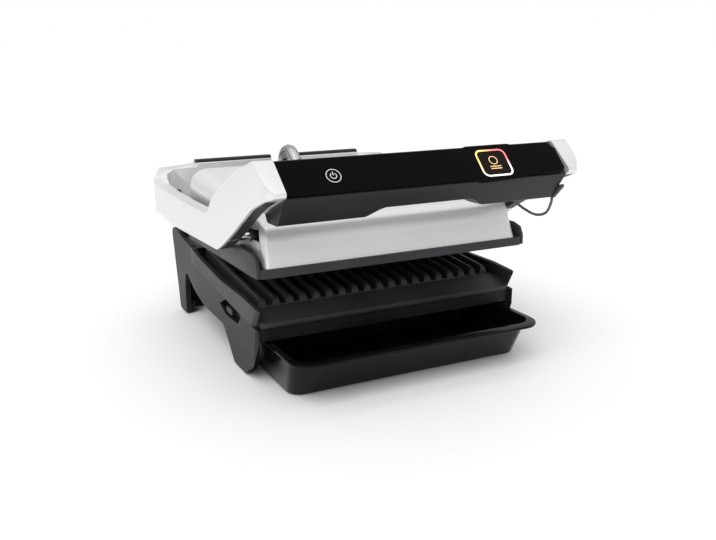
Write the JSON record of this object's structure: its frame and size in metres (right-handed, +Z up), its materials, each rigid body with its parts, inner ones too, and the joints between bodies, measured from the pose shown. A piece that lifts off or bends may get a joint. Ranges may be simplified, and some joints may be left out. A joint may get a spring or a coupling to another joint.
{
  "type": "electric contact grill",
  "caption": "Indoor contact grill: ribbed plates in a legged housing and a floating head, lid frame with handle, drip tray.",
  "frame": {"origin": "on the bench under the feet, midway across the width and midway between the arms' noses and the frame's rear", "axes": "+X to the right seen from the handle, -Y towards the handle, +Z up"},
  "size_m": [0.348, 0.415, 0.2373],
  "materials": {
    "satin_arm": "satin silver",
    "brushed_shell": "brushed",
    "handle_dark": "fine satin",
    "fascia_black": "gloss",
    "ring_light": "lit ring",
    "board_green": "solder mask",
    "housing_black": "fine grain",
    "foot_rubber": "matt",
    "nonstick": "dark non-stick coating",
    "bright_pin": "polished",
    "steel": "plain steel",
    "element": "oxidised sheath",
    "reflector_sheet": "bright sheet",
    "tray_black": "soft gloss",
    "release_dark": "satin",
    "ceramic": "terminal block",
    "lead_grey": "silicone sleeve"
  },
  "bodies": {
    "base": {"base_housing": "housing_black", "base_cover": "housing_black", "feet": "foot_rubber", "cover_screws": "steel", "lower_plate": "nonstick", "lower_heater": "element", "lower_reflector": "reflector_sheet", "lower_sensor": "steel", "hinge_brackets": "housing_black", "hinge_pins": "steel", "terminal_block": "ceramic", "cord_gland": "foot_rubber"},
    "lower_release": {"lower_latch": "release_dark"},
    "tray": {"drip_tray": "tray_black"},
    "arms": {"left_arm": "satin_arm", "right_arm": "satin_arm", "left_arm_liner": "handle_dark", "right_arm_liner": "handle_dark", "pivot_caps": "satin_arm", "rear_bar": "handle_dark", "bar_strips": "housing_black", "handle_body": "handle_dark", "control_panel": "fascia_black", "display_window": "fascia_black", "display_ring": "ring_light", "control_board": "board_green", "float_pins": "bright_pin", "guide_pins": "bright_pin", "lead_gland": "handle_dark", "handle_screws": "steel", "head_lead": "lead_grey", "rear_conduit": "bright_pin"},
    "button": {"power_button": "fascia_black"},
    "head": {"top_shell": "brushed_shell", "head_frame": "housing_black", "upper_plate": "nonstick", "upper_heater": "element", "upper_reflector": "reflector_sheet", "upper_sensor": "steel", "float_bushes": "housing_black", "conduit_socket": "housing_black"},
    "upper_release": {"upper_latch": "release_dark"}
  },
  "joints": [
    {"name": "lid_hinge", "type": "hinge", "parent": "base", "child": "arms", "pos_m": [0, 0.1755, 0.14], "axis": [-1, 0, 0], "range_deg": [-6.2, 84]},
    {"name": "head_float", "type": "hinge", "parent": "arms", "child": "head", "pos_m": [0, -0.09218, 0.15042], "axis": [1, 0, 0], "range_deg": [0, 5], "deforming": ["head_lead", "rear_conduit"]},
    {"name": "tray_slide", "type": "slide", "parent": "base", "child": "tray", "axis": [0, -1, 0], "range_m": [-0.07, 0.06]},
    {"name": "lower_release_press", "type": "slide", "parent": "base", "child": "lower_release", "axis": [1, 0, 0], "range_m": [0, 0.0025], "stiffness_N_per_m": 400, "springref_m": -0.0005},
    {"name": "upper_release_press", "type": "slide", "parent": "head", "child": "upper_release", "axis": [-1, 0, 0], "range_m": [0, 0.0025], "stiffness_N_per_m": 400, "springref_m": -0.0005},
    {"name": "power_press", "type": "slide", "parent": "arms", "child": "button", "axis": [0, 0.7059, -0.7083], "range_m": [0, 0.0008], "stiffness_N_per_m": 800, "springref_m": -0.0004}
  ]
}
